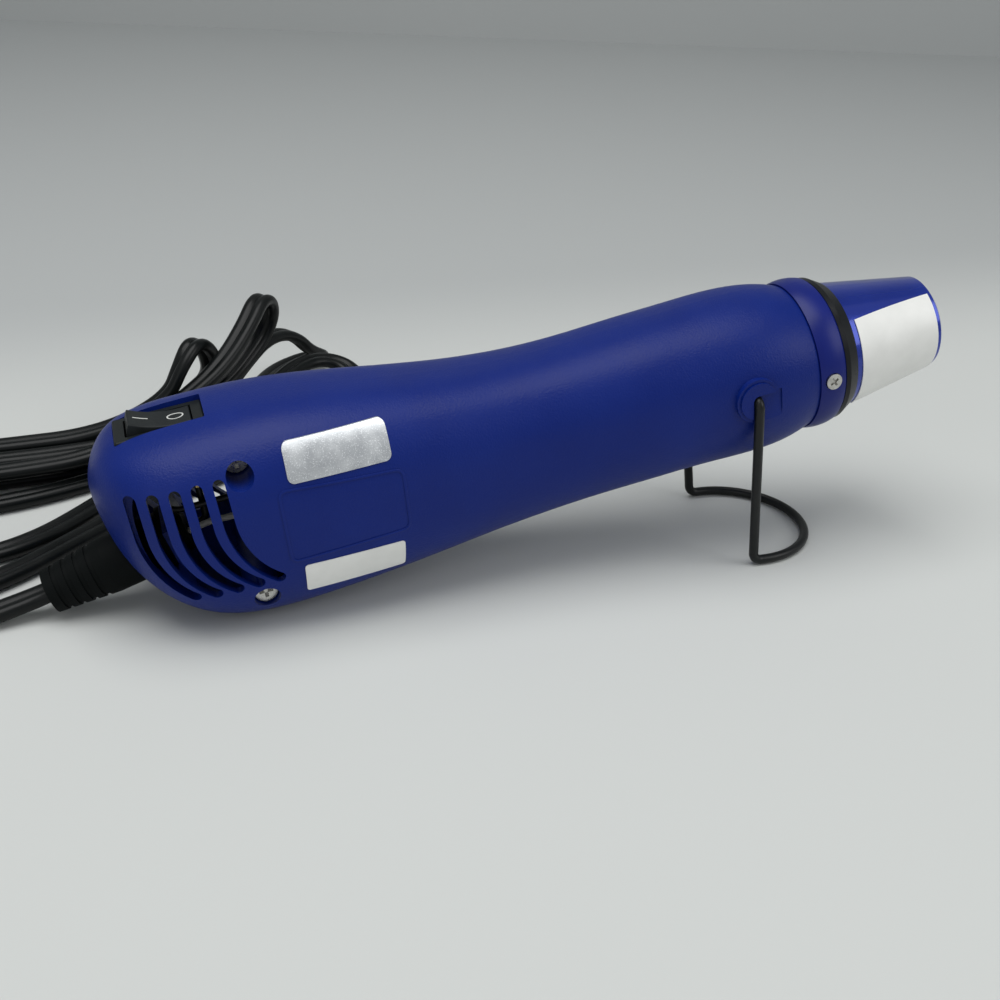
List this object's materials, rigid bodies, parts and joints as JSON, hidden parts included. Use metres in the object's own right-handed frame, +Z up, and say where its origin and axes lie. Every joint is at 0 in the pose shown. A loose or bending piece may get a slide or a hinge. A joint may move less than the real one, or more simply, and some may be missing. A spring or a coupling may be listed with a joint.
{
  "type": "embossing heat tool",
  "caption": "Hand-held embossing heat tool with a blue moulded housing, rocker switch, steel-lined nozzle, folding wire stand and a twin mains cord gathered in a hank.",
  "frame": {"origin": "Centre of the bottom of the bounding box of the tool and its stand, without the cord, on the table.", "axes": "+X from the cord end towards the nozzle, +Y to the left side of the tool, +Z up from the table."},
  "size_m": [0.3422, 0.1757, 0.0712],
  "materials": {
    "blue_plastic": "satin",
    "collar_blue": "satin",
    "black_plastic": "satin",
    "soft_black": "matte",
    "shield_enamel": "satin",
    "bright_steel": "satin",
    "black_wire": "satin",
    "dark_magnet": "matte",
    "copper": "satin",
    "brass_bits": "satin",
    "mica": "matte",
    "resistance_wire": "satin",
    "cutoff_body": "matte",
    "board_green": "gloss",
    "lead_black": "satin",
    "lead_white": "satin",
    "badge_foil": "satin",
    "label_white": "satin"
  },
  "bodies": {
    "body": {"housing_right": "blue_plastic", "housing_left": "blue_plastic", "collar": "collar_blue", "heat_ring": "black_plastic", "switch_body": "black_plastic", "air_guide": "black_plastic", "motor_endcap": "black_plastic", "plug_body": "black_plastic", "strain_relief": "soft_black", "cord_run": "soft_black", "cord_hank": "soft_black", "cord_tail": "soft_black", "cord_tie": "soft_black", "nozzle_shield": "shield_enamel", "housing_screws": "bright_steel", "collar_screws": "bright_steel", "motor_can": "bright_steel", "hot_air_tube": "bright_steel", "motor_magnets": "dark_magnet", "motor_brushes": "dark_magnet", "motor_bushes": "brass_bits", "motor_tabs": "brass_bits", "switch_terminals": "brass_bits", "plug_blades": "brass_bits", "thermal_fuse": "brass_bits", "mica_sleeve": "mica", "mica_card_upright": "mica", "mica_card_level": "mica", "heater_coil": "resistance_wire", "thermal_cutoff": "cutoff_body", "diodes": "cutoff_body", "rectifier_board": "board_green", "lead_live": "lead_black", "lead_switched": "lead_black", "lead_neutral": "lead_white", "lead_heater": "lead_white", "badge_label": "badge_foil", "notice_label": "label_white", "nozzle_label": "label_white"},
    "rocker": {"rocker": "black_plastic"},
    "stand": {"stand_wire": "black_wire"},
    "fan": {"motor_shaft": "bright_steel", "armature": "bright_steel", "armature_windings": "copper", "commutator": "copper", "fan_impeller": "black_plastic"}
  },
  "joints": [
    {"name": "rocker_tilt", "type": "hinge", "parent": "body", "child": "rocker", "pos_m": [-0.08633, 0, 0.04676], "axis": [0, 1, 0], "range_deg": [-22, 0]},
    {"name": "stand_fold", "type": "hinge", "parent": "body", "child": "stand", "pos_m": [0.05731, 0, 0.04863], "axis": [0, 1, 0], "range_deg": [-50, 0]},
    {"name": "fan_spin", "type": "hinge", "parent": "body", "child": "fan", "pos_m": [-0.0023, 0, 0.03658], "axis": [0.9842, 0, 0.1771], "continuous": true}
  ]
}
